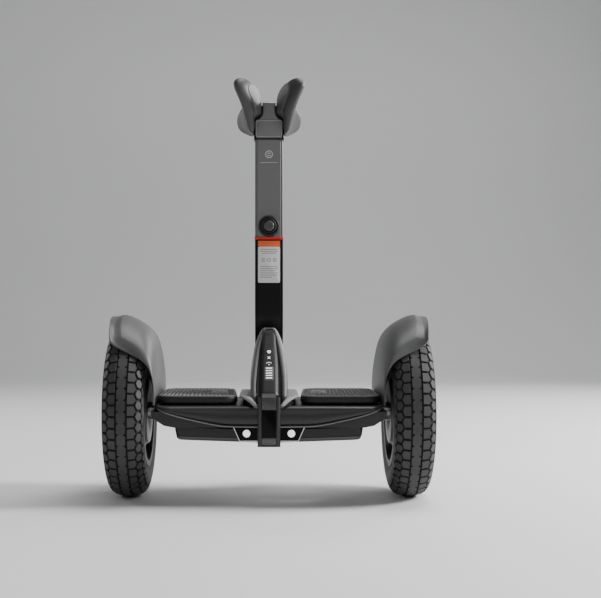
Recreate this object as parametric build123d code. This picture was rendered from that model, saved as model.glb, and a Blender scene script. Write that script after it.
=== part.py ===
"""Two-wheeled self-balancing ride-on robot, steered by a knee bar.

Frame: origin on the ground midway between the tyres, +X to the rider's right along the axle,
+Y forwards, +Z up.  All sizes in millimetres.  Paired pieces are drawn on the right-hand side
and mirrored to the left.
"""

import math
import os

from build123d import *

# ---- driving dimensions ---------------------------------------------------------------------
WHEEL_R = 140.0  # tyre radius, and the height of the axles
WHEEL_X = 230.0  # wheel centre plane from the middle plane
TYRE_W = 68.0
BODY_X = 182.0  # outer end of the top cover
BODY_REAR = -115.0
BODY_FRONT = 105.0
DECK_Z = 157.0  # top of the top cover
BELLY_Z = 122.6  # underside of the tray, where the battery hangs
PAD_TOP = 173.0
HUMP_TOP = 279.0
POST_W = 47.5  # steering bar, across
POST_D = 28.0  # steering bar, front to back
POST_Y = 45.0  # centre line of the straight upper bar
FOOT_Y = 123.0  # centre line of the bar's foot, ahead of the body
RING_Z = 428.0  # underside of the red ring
SLEEVE_TOP = 597.0
LEAN_Z = 140.0  # height of the steering shaft, about which the bar leans
BAR_TRAVEL = 100.0  # how far the sleeve can be raised

# ---- smaller sizes shared by several pieces -------------------------------------------------
SKIN = 3.0  # moulded wall
RUN = 0.05  # radial running clearance
SLACK = 0.3  # clearance each side of the sliding tube
AXLE_R = 10.0
BEARING_R = 17.5
HUB_R = 58.0
MAGNET_R = 52.0
STATOR_R = 46.5
BEAD_R = 86.0
BEAD_X = 27.0
CARCASS = 7.0
SPOKES = 5
SHAFT_R = 9.0
SHAFT_BEARING_R = 12.5
POST_WALL = 3.0
BORE_W = POST_W - 2 * POST_WALL
BORE_D = POST_D - 2 * POST_WALL
SPINE_X = 18.0  # half width of the centre band
SPINE_Y = -118.5
BATTERY_REAR = -92.0
TRAY_REAR = -104.0
TRAY_FRONT = 98.0
TRAY_WALL = 4.0
FLOOR_TOP = 127.0  # inside floor of the tray
KNOB_Z = 450.0
BUTTON_R = 4.0
BUTTON_AT = 86.6  # along the console, from its lower end
PIN_R = 4.0
PAD_PINS = [(80, -60), (80, 55), (148, -60), (148, 55)]


# ---- helpers --------------------------------------------------------------------------------
def block(x0, x1, y0, y1, z0, z1):
    """A box between two corners."""
    return Pos((x0 + x1) / 2, (y0 + y1) / 2, (z0 + z1) / 2) * Box(x1 - x0, y1 - y0, z1 - z0)


def soft_block(x0, x1, y0, y1, z0, z1, radius, axis=Axis.Z):
    """A box whose edges along one axis are rounded."""
    box = block(x0, x1, y0, y1, z0, z1)
    return fillet(box.edges().filter_by(axis), radius)


def outline(points):
    """A flat face inside a closed chain of straight lines."""
    return make_face(Polyline(*points, close=True))


def across(face, x0, x1):
    """Extrudes a face drawn in (y, z) along X."""
    return Pos(x0, 0, 0) * extrude(Plane.YZ * face, x1 - x0)


def lengthwise(face, y0, y1):
    """Extrudes a face drawn in (x, z) along Y."""
    return Pos(0, y1, 0) * extrude(Plane.XZ * face, y1 - y0)


def both_sides(points):
    """A chain of (x, z) points on the right, continued by its own mirror image on the left."""
    return points + [(-x, z) for x, z in reversed(points) if x != 0]


def rod(radius, start, end):
    """A round bar between two points."""
    a, b = Vector(*start), Vector(*end)
    return extrude(Plane(origin=a, z_dir=b - a) * Circle(radius), (b - a).length)


def tube(outer, inner, start, end):
    """A round tube between two points."""
    return rod(outer, start, end) - rod(inner, start, end)


def spun(points):
    """A body of revolution about the wheel axis, from (offset, radius) points."""
    return revolve(Plane.XZ * outline(points), Axis.X)


def on_wheel(shape):
    """Moves a shape drawn about the origin to the right-hand wheel's centre."""
    return Pos(WHEEL_X, 0, WHEEL_R) * shape


def pieces(shapes):
    """Several separate solids kept as one node."""
    return Compound(children=[solid for shape in shapes for solid in shape.solids()])


def mirrored(shape):
    """The left-hand copy of a right-hand piece."""
    return mirror(shape, about=Plane.YZ)


def pair(shape):
    """The right-hand and left-hand copies as one node."""
    return pieces([shape, mirrored(shape)])


# ---- wheels ---------------------------------------------------------------------------------
def tyre_section(inset):
    """Half-ring section of the tyre, drawn inset from its outer surface."""
    foot = (BEAD_X - inset, BEAD_R)
    low = (BEAD_X - inset, 92)
    side = (TYRE_W / 2 - inset, 110)
    shoulder = (BEAD_X - inset * 0.6, 130 - inset * 0.8)
    crown = (0, WHEEL_R - inset)
    left = [(-x, r) for x, r in (shoulder, side, low, foot)]
    return make_face([
        Line(foot, low), ThreePointArc(low, side, shoulder), ThreePointArc(shoulder, crown, left[0]),
        ThreePointArc(left[0], left[1], left[2]), Line(left[2], left[3]), Line(left[3], foot),
    ])


def make_tyre():
    """Hollow tyre with two grooves beside the centre rib and a groove at each shoulder."""
    ring = revolve(Plane.XZ * (tyre_section(0) - tyre_section(CARCASS)), Axis.X)
    for side in (-1, 1):
        for offset, depth_r in ((9.0, 136.4), (22.0, 130.5)):
            x0, x1 = side * offset - 0.9, side * offset + 0.9
            ring -= spun([(x0, depth_r), (x1, depth_r), (x1, 150), (x0, 150)])
    return on_wheel(ring)


def make_rim():
    """Rim barrel and motor shell joined by five spokes."""
    seat = BEAD_X + 0.2
    barrel = spun([
        (-31, 81), (31, 81), (31, 91.5), (seat, 91.5), (seat, BEAD_R),
        (-seat, BEAD_R), (-seat, 91.5), (-31, 91.5),
    ])
    shell = spun([(-20, MAGNET_R), (20, MAGNET_R), (20, HUB_R), (-20, HUB_R)])
    arm = block(-9, 9, -15, 15, HUB_R - 2, 83)
    arm = chamfer(arm.edges().filter_by(Axis.Z), 4)
    core = spun([(-20, 0), (20, 0), (20, MAGNET_R), (-20, MAGNET_R)])
    wheel = barrel + shell
    for i in range(SPOKES):
        wheel += Rot(X=360 / SPOKES * i) * arm
    return on_wheel(wheel - core)


def make_magnets():
    """Magnet ring bonded inside the motor shell."""
    return on_wheel(spun([(-16, 48), (16, 48), (16, MAGNET_R), (-16, MAGNET_R)]))


def make_inner_cover():
    """Motor cover on the body side, around the inner bearing."""
    return on_wheel(spun([
        (-28, BEARING_R), (-28, 30), (-24, 50), (-24, HUB_R), (-20, HUB_R), (-20, BEARING_R),
    ]))


def make_hub_cap():
    """Closed motor cover on the outer side, with a seat for the outer bearing."""
    return on_wheel(spun([
        (21, 0), (21, BEARING_R), (13, BEARING_R), (13, 21), (20, 23), (20, HUB_R),
        (24, HUB_R), (27, 50), (30, 32), (31, 0),
    ]))


def make_bearings():
    """The two bearings a wheel turns on."""
    return on_wheel(pieces([
        tube(BEARING_R, AXLE_R + RUN, (-28, 0, 0), (-20, 0, 0)),
        tube(BEARING_R, AXLE_R + RUN, (13, 0, 0), (21, 0, 0)),
    ]))


def make_valve():
    """Tyre valve with its cap, in a window between two spokes."""
    stem = rod(3.0, (0, 0, 68), (0, 0, 81.5)) + rod(4.2, (0, 0, 62.5), (0, 0, 68))
    barrel_bore = rod(81, (-10, 0, 0), (10, 0, 0))
    return on_wheel(Rot(X=180 / SPOKES) * (stem & barrel_bore))


# ---- drive pieces that stand still ----------------------------------------------------------
def make_axle():
    """Fixed axle with the collar that closes the gap to the wheel."""
    bar = rod(AXLE_R, (152, 0, WHEEL_R), (WHEEL_X + 20, 0, WHEEL_R))
    return bar + rod(15, (188, 0, WHEEL_R), (WHEEL_X - 29.5, 0, WHEEL_R))


def make_stator():
    """Wound stator with slots between its poles."""
    core = tube(STATOR_R, AXLE_R, (-14, 0, 0), (12, 0, 0))
    for i in range(12):
        core -= Rot(X=30 * i) * block(-20, 20, -3, 3, 28, 42)
    return on_wheel(core)


# ---- body -----------------------------------------------------------------------------------
TRAY_EDGE = [(151, BELLY_Z), (166, 125.5), (176, 132), (185, 138), (186.8, 147.5)]
COVER_EDGE = [(0, 126), (40, 126.3), (75, 127.5), (118, 137), (150, 143.5), (BODY_X, 151)]


def make_frame():
    """Cast tray with the axle clamps and the bearing housing of the steering shaft."""
    outer = lengthwise(outline(both_sides(TRAY_EDGE)), TRAY_REAR, TRAY_FRONT)
    inner = [(x - TRAY_WALL, z + TRAY_WALL + 0.4) for x, z in TRAY_EDGE[:-1]]
    inner += [(TRAY_EDGE[-1][0] - TRAY_WALL, 160)]
    hollow = lengthwise(outline(both_sides(inner)), TRAY_REAR + TRAY_WALL, TRAY_FRONT - TRAY_WALL)
    tray = outer - hollow
    clamp = block(154, 172, -22, 22, FLOOR_TOP - 1, 152.5)
    rib = block(60, 64, -98, 92, FLOOR_TOP - 1, 140)
    tray += pair(clamp + block(168, 186, -20, 20, 127, 147.5)) + pair(rib)
    tray += block(-18, 18, 72, TRAY_FRONT, FLOOR_TOP - 1, 153.3)
    for side in (-1, 1):
        tray -= rod(AXLE_R, (side * 140, 0, WHEEL_R), (side * 190, 0, WHEEL_R))
    tray -= rod(SHAFT_BEARING_R, (0, 60, LEAN_Z), (0, 110, LEAN_Z))
    return tray


def make_top_cover():
    """Moulded cover over the tray, open below, with a curved lower edge."""
    plan = Pos(0, (BODY_REAR + BODY_FRONT) / 2, 120) * extrude(
        RectangleRounded(2 * BODY_X, BODY_FRONT - BODY_REAR, 22), DECK_Z - 120
    )
    core = Pos(0, (BODY_REAR + BODY_FRONT) / 2, 100) * extrude(
        RectangleRounded(2 * (BODY_X - SKIN), BODY_FRONT - BODY_REAR - 2 * SKIN, 19), DECK_Z - SKIN - 100
    )
    silhouette = outline(both_sides(COVER_EDGE + [(BODY_X, DECK_Z)]))
    cover = (plan & lengthwise(silhouette, -150, 150)) - core
    for x, y in PAD_PINS:
        for side in (-1, 1):
            cover -= rod(PIN_R + 0.6, (side * x, y, 140), (side * x, y, 170))
    cover -= rod(13, (0, 95, LEAN_Z), (0, 120, LEAN_Z))
    return cover


def make_battery_case():
    """Battery housing hung under the tray, with a belly that rises towards its ends."""
    edge = [(0, 96.6), (143, 101.5), (148, BELLY_Z)]
    room = [(0, 99.1), (141, 103.9), (145.3, BELLY_Z - 2.2)]
    case = lengthwise(outline(both_sides(edge)), BATTERY_REAR, 88)
    case -= lengthwise(outline(both_sides(room)), BATTERY_REAR + 2.5, 85.5)
    return case


def make_cells():
    """Two columns of round cells and a pouch pack at each end."""
    cells = []
    for column in (-33.5, 33.5):
        for row in range(9):
            y = -76 + 18.4 * row
            cells.append(rod(9, (column - 32.5, y, 111.0), (column + 32.5, y, 111.0)))
    cells.append(block(70, 136, -84, 80, 105.5, 118))
    cells.append(block(-136, -70, -84, 80, 105.5, 118))
    return pieces(cells)


def make_spine():
    """Centre band down the rear of the cover."""
    upper = block(-SPINE_X, SPINE_X, SPINE_Y, BODY_REAR, 122.8, 171.5)
    upper += block(-14.6, 14.6, BODY_REAR, -104.3, DECK_Z, 171.5)
    return chamfer(upper.edges().filter_by(Axis.Z).group_by(Axis.Y)[0], 2)


def make_charge_box():
    """Hollow lower end of the centre band, which holds the charging socket."""
    box = block(-SPINE_X, SPINE_X, SPINE_Y, BATTERY_REAR, 93.5, BELLY_Z - 0.1)
    box -= block(-15, 15, SPINE_Y + 4, BATTERY_REAR - 3, 96.5, 119.5)
    box -= block(-12.2, 12.2, SPINE_Y - 1, SPINE_Y + 5, 97.3, 109.0)
    box -= block(-SPINE_X, SPINE_X, BATTERY_REAR - 1, BATTERY_REAR + 1, 90, 96.7)
    return box


def make_charge_socket():
    """Round charging socket behind the cap."""
    body = rod(5.0, (0, SPINE_Y + 5, 103), (0, BATTERY_REAR - 3, 103))
    return body - rod(3.2, (0, SPINE_Y + 4, 103), (0, SPINE_Y + 14, 103))


def make_charge_cap():
    """Soft cap over the charging socket, hinged along its upper edge."""
    cap = block(-11.8, 11.8, SPINE_Y - 0.6, SPINE_Y + 2.2, 97.7, 107.2)
    return cap + rod(1.4, (-11.8, SPINE_Y + 0.8, 107.2), (11.8, SPINE_Y + 0.8, 107.2))


def make_tail_panel():
    """Gloss panel that carries the rear lamps, split by the centre band."""
    face = outline(both_sides([(46, 101.2), (55, 121.8)]))
    panel = lengthwise(face, BATTERY_REAR - 4, BATTERY_REAR)
    panel -= block(-SPINE_X - 0.1, SPINE_X + 0.1, -130, -80, 90, 130)
    for side in (-1, 1):
        panel -= rod(5.8, (side * 35.5, -100, 112.4), (side * 35.5, -80, 112.4))
    return panel


def make_tail_trim():
    """Bright edge around the lower corners of the lamp panel."""
    bar = outline([
        (18.2, 99.4), (46.6, 99.4), (56.8, 121.8), (55.2, 121.8), (46.1, 101.1), (18.2, 101.1),
    ])
    return pair(lengthwise(bar, BATTERY_REAR - 5, BATTERY_REAR))


def make_tail_lamps():
    """The two round rear lamps."""
    lamp = rod(5.75, (35.5, BATTERY_REAR - 5, 112.4), (35.5, BATTERY_REAR, 112.4))
    return pair(lamp)


def make_front_panel():
    """Gloss strip across the front that carries the headlamps."""
    strip = soft_block(-88, 88, BODY_FRONT, BODY_FRONT + 2, 131, 151, 9, Axis.Y)
    strip -= rod(13, (0, 95, LEAN_Z), (0, 120, LEAN_Z))
    for side in (-1, 1):
        strip -= soft_block(*sorted((side * 42, side * 80)), 100, 120, 136, 146, 4.9, Axis.Y)
    return strip


def make_front_lamps():
    """The two headlamp lenses."""
    return pair(soft_block(42.2, 79.8, BODY_FRONT, BODY_FRONT + 2.6, 136.2, 145.8, 4.7, Axis.Y))


def make_skirt():
    """Light collar around the foot of the hump, with two arms running down to the centre band."""
    ring = soft_block(-48, 48, -104, 86, DECK_Z, 171.5, 12)
    ring -= block(-30.3, 30.3, -110, 80.4, 150, 180)
    ring -= block(-44, 44, -92, 82, 150, 168)
    arm = [(18.4, 148), (25, 148), (48, 163.5), (48, 168.5), (45, 171.5), (30.3, 171.5)]
    arm = lengthwise(outline(arm), BODY_REAR - 2.2, -104) - block(0, 60, BODY_REAR, -100, 140, DECK_Z)
    return ring + pair(arm)


# ---- hump and display -----------------------------------------------------------------------
SLOPE_FOOT = (-100.0, 172.0)
SLOPE_HEAD = (-14.0, 275.0)
SLOPE = Plane(
    origin=(0, *SLOPE_FOOT),
    x_dir=(1, 0, 0),
    z_dir=(0, SLOPE_FOOT[1] - SLOPE_HEAD[1], SLOPE_HEAD[0] - SLOPE_FOOT[0]),
)
HUMP_SIDE = [
    (-100, 140), SLOPE_FOOT, SLOPE_HEAD, (-6, HUMP_TOP), (4, 276), (22, 256), (46, 212), (72, 172), (80, 140),
]
HUMP_WIDTH = [(30, 140), (29.6, 177), (30, 195), (28.6, 215), (23, 250), (16.5, 268), (10, HUMP_TOP)]


def make_hump():
    """Hollow hump between the foot pads."""
    width, side = outline(both_sides(HUMP_WIDTH)), outline(HUMP_SIDE)
    solid = lengthwise(width, -120, 120) & across(side, -60, 60)
    room = lengthwise(offset(width, -SKIN), -120, 120) & across(offset(side, -SKIN), -60, 60)
    shell = solid - room - block(-60, 60, -120, 120, 100, DECK_Z)
    shell -= SLOPE * Pos(0, BUTTON_AT, 0) * Cylinder(BUTTON_R + 0.4, 20)
    return shell


def make_console():
    """Raised gloss panel along the sloping face of the hump."""
    face = outline([(-14.6, 1), (14.6, 1), (14.2, 70), (10.5, 126), (-10.5, 126), (-14.2, 70)])
    panel = extrude(face, 2.5)
    panel = chamfer(panel.faces().sort_by(Axis.Z)[-1].edges().filter_by(Axis.X, reverse=True), 1.5)
    panel -= Pos(0, BUTTON_AT, 0) * Cylinder(BUTTON_R + 0.4, 20)
    panel -= block(-7.6, 7.6, 31, 58.6, 1.7, 5)
    return SLOPE * panel


def make_gauge():
    """Charge gauge window let into the console."""
    return SLOPE * soft_block(-7.4, 7.4, 31.2, 58.4, 1.7, 2.7, 1.5)


def make_button():
    """Round power button."""
    return SLOPE * Pos(0, BUTTON_AT, 0) * extrude(Pos(0, 0, -1.7) * Circle(BUTTON_R), 4.7)


def make_display_board():
    """Circuit board behind the console, with the switch under the button."""
    board = block(-8, 8, 20, 100, -8, -6.4) + block(-3, 3, BUTTON_AT - 3, BUTTON_AT + 3, -6.5, -3.1)
    posts = block(-8, 8, 20, 24, -7, -SKIN) + block(-8, 8, 96, 100, -7, -SKIN)
    return SLOPE * (board + posts)


# ---- electronics and switches ---------------------------------------------------------------
def make_control_board():
    """Motor controller on its four stand-offs."""
    board = block(-56, 56, -84, 4, 134, 136)
    for x, y in ((-50, -78), (50, -78), (-50, -2), (50, -2)):
        board += rod(3, (x, y, FLOOR_TOP), (x, y, 134))
    for x in (-30, 0, 30):
        board += rod(6, (x, -60, 136), (x, -60, 150))
    board += block(-45, 45, -42, -30, 136, 146)
    return board


def make_gyro_board():
    """Small balance-sensor board."""
    board = block(-22, 22, 22, 56, 134, 135.6) + block(-6, 6, 32, 44, 135.6, 138)
    for x in (-18, 18):
        board += rod(3, (x, 39, FLOOR_TOP), (x, 39, 134))
    return board


def make_foot_sensors():
    """Pressure switches under the pins of the foot pads."""
    strip = block(72, 153.5, -68, -52, 146, 149.8) + block(72, 153.5, 47, 63, 146, 149.8)
    strip += block(100, 112, -68, 63, 142, 146)
    strip += block(100, 112, -66, -54, FLOOR_TOP, 146) + block(100, 112, 49, 61, FLOOR_TOP, 146)
    return pair(strip)


def make_foot_pad():
    """Rubber-topped foot pad with four guide pins."""
    pad = soft_block(49.2, 176.8, -98, 90, DECK_Z + 2.5, PAD_TOP, 24)
    pad = fillet(pad.edges().group_by(Axis.Z)[-1], 3)
    for x, y in PAD_PINS:
        pad += rod(PIN_R, (x, y, 151.5), (x, y, DECK_Z + 3))
    return pad


# ---- fenders --------------------------------------------------------------------------------
FENDER_SKIN = [
    (320, 297.5), (260.5, 297.5), (241.5, 300), (227, 297), (215, 291), (203, 283.5), (193, 274),
    (185, 263), (180, 250), (177, 234), (175, 216), (174.3, 195), (175, 181), (178.4, 174),
    (178.4, 130), (320, 130),
]
FENDER_EDGE = [
    (182.4, DECK_Z), (182.4, 173), (184.5, 190), (188, 205), (193, 214), (201, 225), (212.5, 234),
    (228, 241.5), (240, 247), (250, 254), (330, 254), (330, 120), (182.4, 120),
]


def make_fender():
    """Mudguard that arches over the wheel and comes down inside it to the body."""
    skin = outline(FENDER_SKIN)
    arch = make_face([
        Line((-112, 120), (-112, 218)), Line((-112, 218), (-108, 238)), Line((-108, 238), (-98, 255)),
        ThreePointArc((-98, 255), (0, 300.5), (98, 255)), Line((98, 255), (108, 238)),
        Line((108, 238), (112, 218)), Line((112, 218), (112, 120)), Line((112, 120), (-112, 120)),
    ])
    solid = lengthwise(skin, -130, 130) & across(arch, 150, 260.5)
    room = lengthwise(offset(skin, -SKIN), -130, 130) & across(offset(arch, -SKIN), 150, 330)
    shell = solid - room
    shell -= lengthwise(outline(FENDER_EDGE), -130, 130)
    return shell - block(150, 200, -130, 130, 100, DECK_Z)


def make_fender_screws():
    """Button-head screws through the foot of each fender."""
    heads = [rod(3, (181.4, y, 166), (183.6, y, 166)) for y in (-60, 0, 60)]
    return pair(pieces(heads))


# ---- steering bar ---------------------------------------------------------------------------
def bar_line(z):
    """Centre of the bar, front to back, at a height: upright, a smooth bend, upright again."""
    t = min(max((z - 152) / (300 - 152), 0), 1)
    return FOOT_Y + (POST_Y - FOOT_Y) * (3 * t * t - 2 * t * t * t)


def bar_band(inset, z0, z1):
    """Side view of the bent bar as a band, inset from its two faces."""
    half = POST_D / 2 - inset
    heights = [z0 + (z1 - z0) * i / 14 for i in range(15)]
    left, right = [], []
    for z in heights:
        slope = bar_line(z + 0.5) - bar_line(z - 0.5)
        length = math.hypot(slope, 1)
        left.append((bar_line(z) - half / length, z + half * slope / length))
        right.append((bar_line(z) + half / length, z - half * slope / length))
    return make_face([
        Spline(*left), Line(left[-1], right[-1]), Spline(*reversed(right)), Line(right[0], left[0]),
    ])


def make_lower_post():
    """Bent hollow lower bar, from its foot on the steering shaft up to the red ring."""
    bend = across(bar_band(0, 150, 302), -POST_W / 2, POST_W / 2)
    bend -= across(bar_band(POST_WALL, 149.9, 302.1), -BORE_W / 2, BORE_W / 2)
    straight = soft_block(
        -POST_W / 2, POST_W / 2, POST_Y - POST_D / 2, POST_Y + POST_D / 2, 301, RING_Z, 3
    )
    straight -= block(-BORE_W / 2, BORE_W / 2, POST_Y - BORE_D / 2, POST_Y + BORE_D / 2, 300, RING_Z + 1)
    foot = soft_block(
        -POST_W / 2, POST_W / 2, FOOT_Y - POST_D / 2, FOOT_Y + POST_D / 2, 122, 151, 12, Axis.Y
    )
    foot += block(-POST_W / 2, POST_W / 2, FOOT_Y - POST_D / 2, FOOT_Y + POST_D / 2, 138, 151)
    post = straight + bend + foot
    return post - rod(SHAFT_R, (0, 90, LEAN_Z), (0, 134, LEAN_Z))


def make_shaft():
    """Steering shaft with the collar that keeps it in its bearings."""
    return rod(SHAFT_R, (0, 62, LEAN_Z), (0, 134, LEAN_Z)) + rod(11.5, (0, 62, LEAN_Z), (0, 67, LEAN_Z))


def make_shaft_bearings():
    """Bearings of the steering shaft and the rubber bush that centres it."""
    rings = [(72, 79), (79.5, 90.5), (91, 98)]
    return pieces([
        tube(SHAFT_BEARING_R, SHAFT_R + RUN, (0, y0, LEAN_Z), (0, y1, LEAN_Z)) for y0, y1 in rings
    ])


def make_red_ring():
    """Coloured collar at the top of the lower bar."""
    ring = soft_block(
        -POST_W / 2 - 1, POST_W / 2 + 1, POST_Y - POST_D / 2 - 1, POST_Y + POST_D / 2 + 1,
        RING_Z, RING_Z + 4, 4,
    )
    return ring - block(-BORE_W / 2, BORE_W / 2, POST_Y - BORE_D / 2, POST_Y + BORE_D / 2, 400, 440)


def make_inner_tube():
    """Tube fixed in the lower bar, along which the sleeve slides."""
    plug = block(-BORE_W / 2, BORE_W / 2, POST_Y - BORE_D / 2, POST_Y + BORE_D / 2, 380, RING_Z + 4)
    x, y = BORE_W / 2 - SLACK, BORE_D / 2 - SLACK
    plug += block(-x, x, POST_Y - y, POST_Y + y, RING_Z, 575)
    return plug - block(-x + 2.5, x - 2.5, POST_Y - y + 2.5, POST_Y + y - 2.5, 370, 580)


def make_label():
    """Blank information plate on the rear of the lower bar."""
    face = POST_Y - POST_D / 2
    return soft_block(-19, 19, face - 0.5, face, 354, 426, 2, Axis.Y)


def make_sleeve():
    """Upper bar that slides over the tube, with the boss of the clamp knob."""
    rear = POST_Y - POST_D / 2
    outer = soft_block(
        -POST_W / 2, POST_W / 2, rear, POST_Y + POST_D / 2, RING_Z + 4.3, SLEEVE_TOP, 3
    )
    boss = rod(18, (0, rear - 4, KNOB_Z), (0, rear + 1, KNOB_Z)) & block(-20, 20, rear - 5, rear + 1, 433, 480)
    outer += boss
    outer -= rod(13.2, (0, rear - 10, KNOB_Z), (0, rear, KNOB_Z))
    outer -= rod(4.4, (0, rear - 10, KNOB_Z), (0, POST_Y, KNOB_Z))
    return outer - block(-BORE_W / 2, BORE_W / 2, POST_Y - BORE_D / 2, POST_Y + BORE_D / 2, 420, 610)


def make_knob():
    """Clamp knob with its screw, whose tip presses on the sliding tube."""
    rear = POST_Y - POST_D / 2
    knob = rod(12.6, (0, rear - 12, KNOB_Z), (0, rear - 0.4, KNOB_Z))
    knob += rod(9, (0, rear - 15, KNOB_Z), (0, rear - 11, KNOB_Z))
    return knob + rod(4, (0, rear - 1, KNOB_Z), (0, rear + POST_WALL - 0.2, KNOB_Z))


def make_head():
    """Head block that closes the sleeve."""
    head = soft_block(-23.2, 23.2, POST_Y - 16, POST_Y + 16, SLEEVE_TOP + 1, 628, 3)
    head += block(-20.4, 20.4, POST_Y - 10.6, POST_Y + 10.6, 580, SLEEVE_TOP + 2)
    return head + block(-22, 22, POST_Y - 12, POST_Y + 12, SLEEVE_TOP, SLEEVE_TOP + 2)


# Sections of the knee pads: depth at the bar's centre line, then the curvature towards the rider
# and the curvature towards the front.
KNEE_BACK = (12.0, 0.0062, 0.0103)
KNEE_FRONT = (38.5, 0.0037, 0.0068)
KNEE_BACK_LEAN = 4.0
KNEE_FRONT_LEAN = 12.0
KNEE_SHELL = 3.0
KNEE_Z = 650.0
KNEE_SIDE = [
    (-14, 676), (-10, 688), (0, 694), (14, 692), (50, 674), (84, 659), (97, 647), (100, 634),
    (92, 620), (74, 611), (50, 606), (28, 603.5), (14, 607), (4, 628), (-8, 654),
]


def knee_trough(section, lean):
    """Everything on the bar's side of a trough for the rider's leg."""
    depth, rear, front = section
    curve = [(y, depth + (rear if y < 0 else front) * y * y) for y in range(-78, 79, 13)]
    face = make_face([
        Spline(*curve), Polyline(curve[-1], (78, -40), (-78, -40), curve[0]),
    ])
    across_leg = Plane(origin=(0, 0, 90), x_dir=(0, 1, 0), z_dir=(0, 0, -1))
    return Pos(0, POST_Y, KNEE_Z) * Rot(Y=lean) * extrude(across_leg * face, 180)


def knee_layer(low, high):
    """Layer between two troughs, trimmed to the pad's side view and cleared of the head."""
    head_room = block(0, 24.2, -30, 130, 590, 640)
    return ((high - low) & across(outline(KNEE_SIDE), 0, 140)) - head_room


def behind_shell():
    return knee_trough(KNEE_BACK, KNEE_BACK_LEAN)


def behind_pad():
    depth, rear, front = KNEE_BACK
    return knee_trough((depth + KNEE_SHELL, rear, front), KNEE_BACK_LEAN)


def make_knee_pad():
    """Soft trough-shaped pad for the rider's knee."""
    return knee_layer(behind_pad(), knee_trough(KNEE_FRONT, KNEE_FRONT_LEAN))


def make_knee_back():
    """Stiff shell behind the knee pad."""
    return knee_layer(behind_shell(), behind_pad())


def make_neck():
    """Waisted saddle above the head, with the arms that carry the knee pads."""
    face = outline(both_sides([(21.5, 628), (15.5, 631.5), (11.4, 638), (10.3, 648), (11.4, 656)]))
    arm = block(0, 30, POST_Y - 8, POST_Y + 8, 636, 652) & behind_shell()
    return lengthwise(face, POST_Y - 14, POST_Y + 14) + arm + mirrored(arm)


# ---- build ----------------------------------------------------------------------------------
def build():
    right = {
        "tyre": make_tyre(),
        "rim": make_rim(),
        "magnets": make_magnets(),
        "inner_cover": make_inner_cover(),
        "hub_cap": make_hub_cap(),
        "wheel_bearings": make_bearings(),
        "valve": make_valve(),
        "axle": make_axle(),
        "stator": make_stator(),
        "fender": make_fender(),
        "foot_pad": make_foot_pad(),
        "knee_pad": make_knee_pad(),
        "knee_back": make_knee_back(),
    }
    nodes = {
        "frame_tray": make_frame(),
        "top_cover": make_top_cover(),
        "battery_case": make_battery_case(),
        "battery_cells": make_cells(),
        "spine": make_spine(),
        "charge_box": make_charge_box(),
        "charge_socket": make_charge_socket(),
        "charge_cap": make_charge_cap(),
        "tail_panel": make_tail_panel(),
        "tail_trim": make_tail_trim(),
        "tail_lamps": make_tail_lamps(),
        "front_panel": make_front_panel(),
        "front_lamps": make_front_lamps(),
        "skirt": make_skirt(),
        "hump": make_hump(),
        "console": make_console(),
        "gauge": make_gauge(),
        "power_button": make_button(),
        "display_board": make_display_board(),
        "control_board": make_control_board(),
        "gyro_board": make_gyro_board(),
        "foot_sensors": make_foot_sensors(),
        "fender_screws": make_fender_screws(),
        "shaft_bearings": make_shaft_bearings(),
        "steering_shaft": make_shaft(),
        "lower_post": make_lower_post(),
        "inner_tube": make_inner_tube(),
        "red_ring": make_red_ring(),
        "bar_label": make_label(),
        "sleeve": make_sleeve(),
        "clamp_knob": make_knob(),
        "head_block": make_head(),
        "neck": make_neck(),
    }
    for name, shape in right.items():
        nodes[name + "_right"] = shape
        nodes[name + "_left"] = mirrored(shape)
    return nodes


os.makedirs("parts", exist_ok=True)
for node, shape in build().items():
    export_step(shape, f"parts/{node}.step")
    box = shape.bounding_box()
    print(f"{node:20s} {len(shape.solids())} {shape.volume / 1000:9.2f} cm3 "
          f"{box.min.X:7.1f} {box.max.X:7.1f} {box.min.Y:7.1f} {box.max.Y:7.1f} {box.min.Z:7.1f} {box.max.Z:7.1f}")
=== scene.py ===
"""Looks of the self-balancing transporter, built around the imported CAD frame.

Lengths in the modelling code are millimetres in the frame's axes (+X right, +Y forwards, +Z up)
and become metres in add_mesh().  A shape is a pair (points, faces).  Pieces that come in twos
are drawn for the right-hand side and mirrored for the left.
"""
from math import atan2, copysign, cos, dist, hypot, pi, radians, sin, sqrt, tan

import bmesh
import bpy
import numpy as np
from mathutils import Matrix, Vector


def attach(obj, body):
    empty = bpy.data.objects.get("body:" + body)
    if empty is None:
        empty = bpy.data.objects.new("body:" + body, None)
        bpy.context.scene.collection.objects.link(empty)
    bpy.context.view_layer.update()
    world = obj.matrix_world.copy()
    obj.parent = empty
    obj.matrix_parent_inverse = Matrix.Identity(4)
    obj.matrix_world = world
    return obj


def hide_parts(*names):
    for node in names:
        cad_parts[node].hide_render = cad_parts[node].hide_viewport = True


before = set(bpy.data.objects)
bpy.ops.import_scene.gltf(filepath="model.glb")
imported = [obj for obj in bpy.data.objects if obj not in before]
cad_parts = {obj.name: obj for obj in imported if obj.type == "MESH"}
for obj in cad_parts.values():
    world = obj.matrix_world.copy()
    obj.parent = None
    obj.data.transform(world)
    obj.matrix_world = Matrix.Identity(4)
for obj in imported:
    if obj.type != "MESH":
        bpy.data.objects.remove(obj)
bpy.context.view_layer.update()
MM = 0.001
HANDS = (("right", 1), ("left", -1))


# ---- numbers and curves ----
def clamp(t):
    return min(max(t, 0), 1)


def span(start, end, n):
    """n + 1 evenly spaced values."""
    return [start + (end - start) * i / n for i in range(n + 1)]


def smooth_step(low, high, value):
    """Runs from 0 at low to 1 at high, level at both ends."""
    t = clamp((value - low) / (high - low))
    return t * t * (3 - 2 * t)


def lerp_table(table, t):
    """Linear look-up of y in a table of (x, y) pairs sorted by x."""
    return float(np.interp(t, *zip(*table)))


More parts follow.
